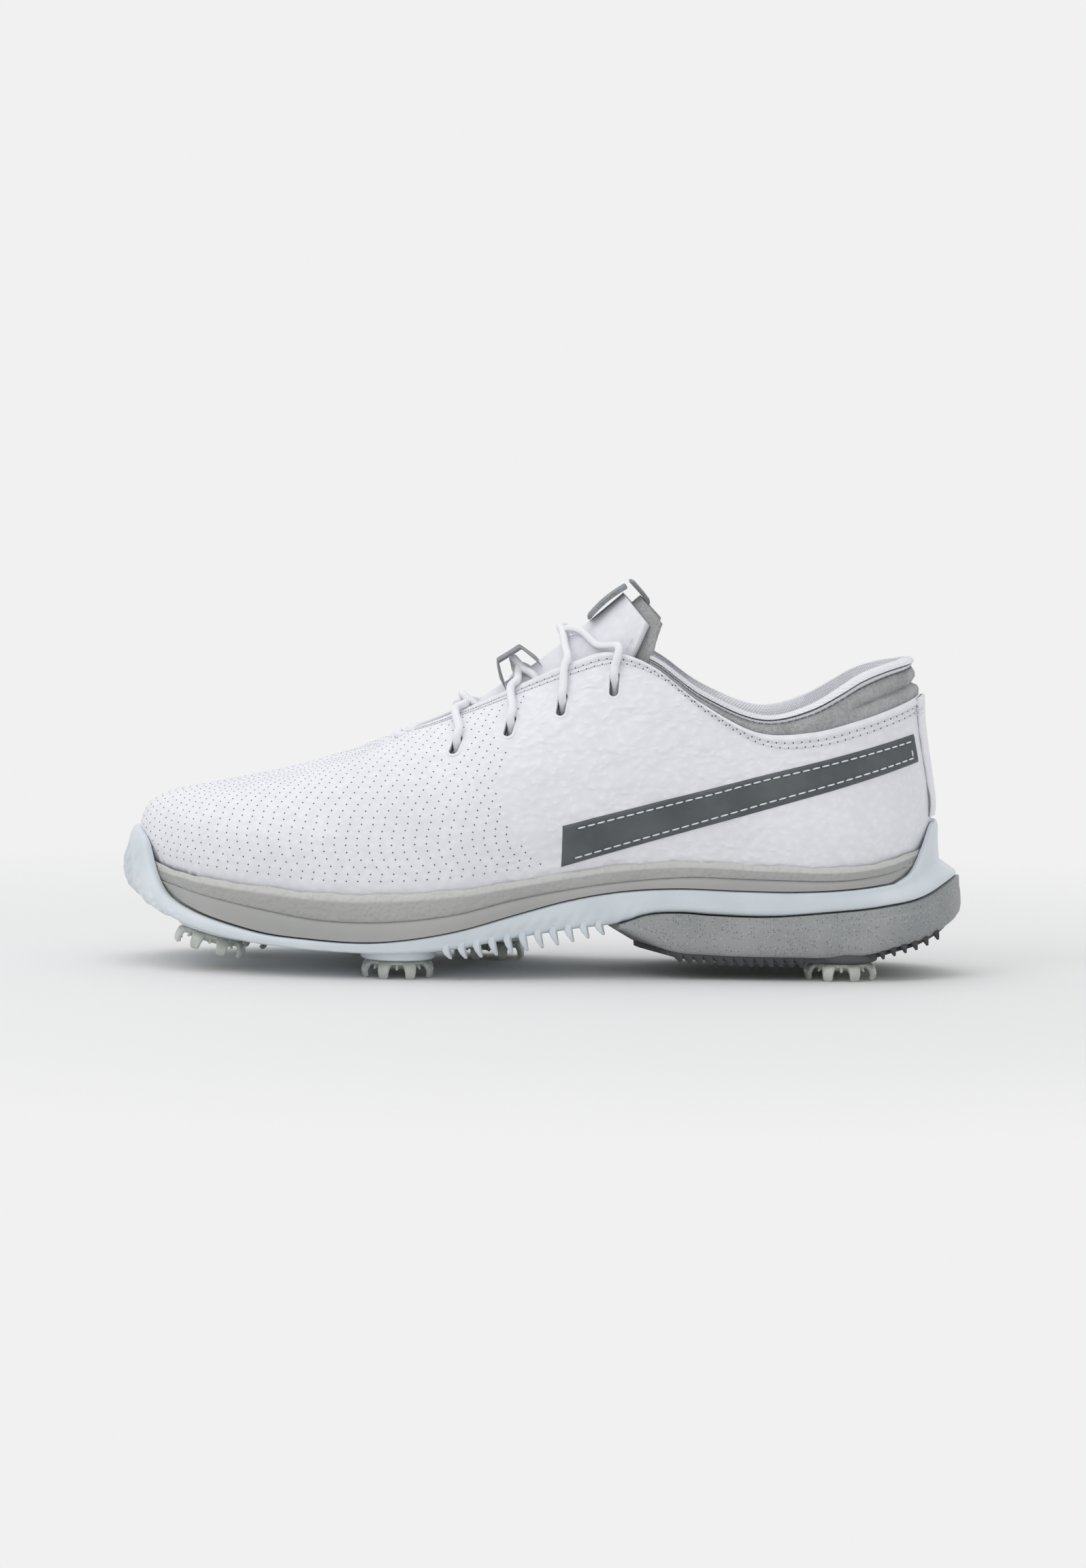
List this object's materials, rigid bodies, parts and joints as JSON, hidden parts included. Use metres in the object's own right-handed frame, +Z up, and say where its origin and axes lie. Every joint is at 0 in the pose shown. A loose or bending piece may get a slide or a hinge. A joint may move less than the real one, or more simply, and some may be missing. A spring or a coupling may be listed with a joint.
{
  "type": "golf shoe",
  "caption": "Left lace-up golf shoe: white leather upper, suede collar and tongue, grey foam midsole, icy plate, heel wedge and twist-in soft spikes.",
  "frame": {"origin": "on the floor under the spikes, at the centre of the shoe's length and width", "axes": "-X to the toe and +X to the heel, -Y to the outer (lateral) side, +Y to the inner (medial) side, +Z up"},
  "size_m": [0.302, 0.1071, 0.1406],
  "materials": {
    "leather": "satin tumbled grain, white",
    "suede": "matt grey suede",
    "twill": "matt white twill",
    "side_band": "matt dark grey synthetic leather, stitched",
    "heel_strip": "satin grey",
    "midsole": "matt grey foam, pebbled",
    "plate": "icy translucent moulded plastic",
    "wedge": "matt grey foam",
    "tread": "matt dark grey rubber",
    "spike": "clear greenish soft plastic",
    "socket": "matt black",
    "lace": "matt white braid",
    "foam": "open cell foam",
    "board": "stiff non-woven board",
    "cushion_unit": "clear film, gas filled",
    "aglet": "clear film"
  },
  "bodies": {
    "shoe": {"aglet_lateral": "aglet", "aglet_medial": "aglet", "collar_foam": "foam", "collar_suede": "suede", "cushion_unit_forefoot": "cushion_unit", "cushion_unit_heel": "cushion_unit", "eyestay_tape_lateral": "board", "eyestay_tape_medial": "board", "heel_counter": "board", "heel_strip": "heel_strip", "heel_tread": "tread", "heel_wedge": "wedge", "insole": "twill", "lace": "lace", "lace_keeper": "suede", "lace_tail_lateral": "lace", "lace_tail_medial": "lace", "midsole": "midsole", "outsole_plate": "plate", "quarter_lining": "twill", "side_band_lateral": "side_band", "side_band_medial": "side_band", "socket_arch_medial": "socket", "socket_ball_lateral": "socket", "socket_ball_medial": "socket", "socket_heel_lateral": "socket", "socket_heel_medial": "socket", "socket_toe_lateral": "socket", "socket_toe_medial": "socket", "strobel_board": "board", "toe_puff": "board", "tongue_foam": "foam", "tongue_leather": "leather", "tongue_lining": "suede", "tongue_tab_back": "suede", "upper_leather": "leather", "vamp_lining": "twill"},
    "spike_toe_lateral_body": {"spike_toe_lateral": "spike"},
    "spike_toe_medial_body": {"spike_toe_medial": "spike"},
    "spike_ball_lateral_body": {"spike_ball_lateral": "spike"},
    "spike_ball_medial_body": {"spike_ball_medial": "spike"},
    "spike_arch_medial_body": {"spike_arch_medial": "spike"},
    "spike_heel_lateral_body": {"spike_heel_lateral": "spike"},
    "spike_heel_medial_body": {"spike_heel_medial": "spike"},
    "tab_flap_body": {"tongue_tab_flap": "suede"}
  },
  "joints": [
    {"name": "spike_toe_lateral_twist", "type": "hinge", "parent": "shoe", "child": "spike_toe_lateral_body", "pos_m": [-0.1175, -0.02, 0.0129], "axis": [-0.2588, 0, -0.9659], "range_deg": [0, 60]},
    {"name": "spike_toe_medial_twist", "type": "hinge", "parent": "shoe", "child": "spike_toe_medial_body", "pos_m": [-0.111, 0.026, 0.0113], "axis": [-0.2419, 0, -0.9703], "range_deg": [0, 60]},
    {"name": "spike_ball_lateral_twist", "type": "hinge", "parent": "shoe", "child": "spike_ball_lateral_body", "pos_m": [-0.051, -0.0365, 0.0063], "axis": [0, 0, -1], "range_deg": [0, 60]},
    {"name": "spike_ball_medial_twist", "type": "hinge", "parent": "shoe", "child": "spike_ball_medial_body", "pos_m": [-0.057, 0.037, 0.0063], "axis": [0, 0, -1], "range_deg": [0, 60]},
    {"name": "spike_arch_medial_twist", "type": "hinge", "parent": "shoe", "child": "spike_arch_medial_body", "pos_m": [-0.019, 0.029, 0.0063], "axis": [0, 0, -1], "range_deg": [0, 60]},
    {"name": "spike_heel_lateral_twist", "type": "hinge", "parent": "shoe", "child": "spike_heel_lateral_body", "pos_m": [0.107, -0.0225, 0.0063], "axis": [0, 0, -1], "range_deg": [0, 60]},
    {"name": "spike_heel_medial_twist", "type": "hinge", "parent": "shoe", "child": "spike_heel_medial_body", "pos_m": [0.107, 0.0225, 0.0063], "axis": [0, 0, -1], "range_deg": [0, 60]},
    {"name": "tab_flap_lift", "type": "hinge", "parent": "shoe", "child": "tab_flap_body", "pos_m": [0.0284, 0, 0.1378], "axis": [0, 1, 0], "range_deg": [0, 40]}
  ]
}
